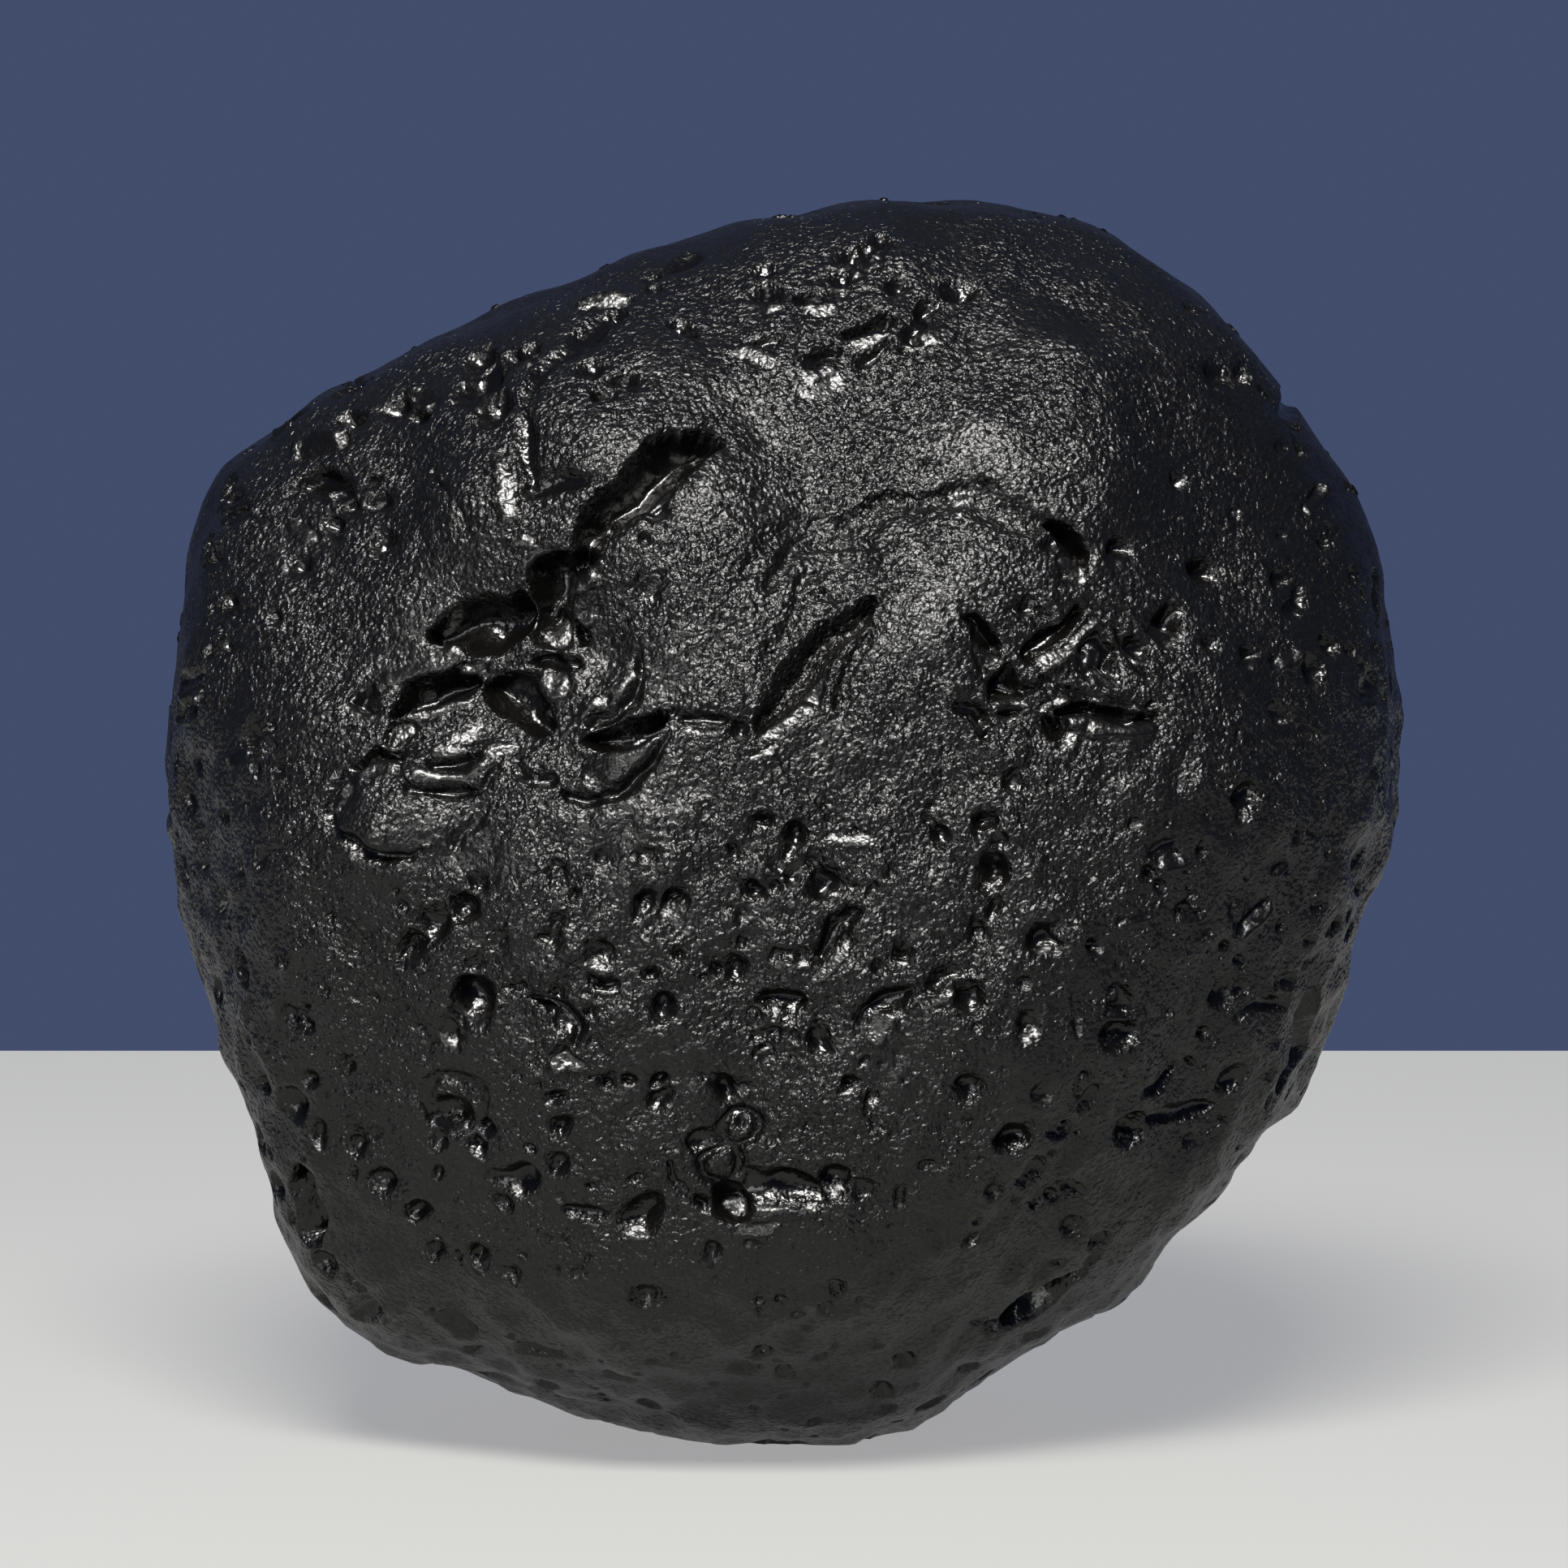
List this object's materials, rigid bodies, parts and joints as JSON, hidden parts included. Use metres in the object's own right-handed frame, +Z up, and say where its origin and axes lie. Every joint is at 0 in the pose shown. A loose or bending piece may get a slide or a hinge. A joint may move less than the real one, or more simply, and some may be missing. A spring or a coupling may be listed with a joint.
{
  "type": "tektite",
  "caption": "Natural black glass stone, a rounded splash-form lump with a pitted and grooved skin, resting on a small flat foot.",
  "frame": {"origin": "middle of the bounding box, on the surface that the stone rests on", "axes": "+Z up, the grooved front face towards -Y, +X to the right of the front"},
  "size_m": [0.0504, 0.0414, 0.0503],
  "materials": {
    "tektite_glass": "near-black opaque natural glass, satin skin, glossier in the pits and grooves"
  },
  "bodies": {
    "root": {"tektite": "tektite_glass"}
  },
  "joints": []
}
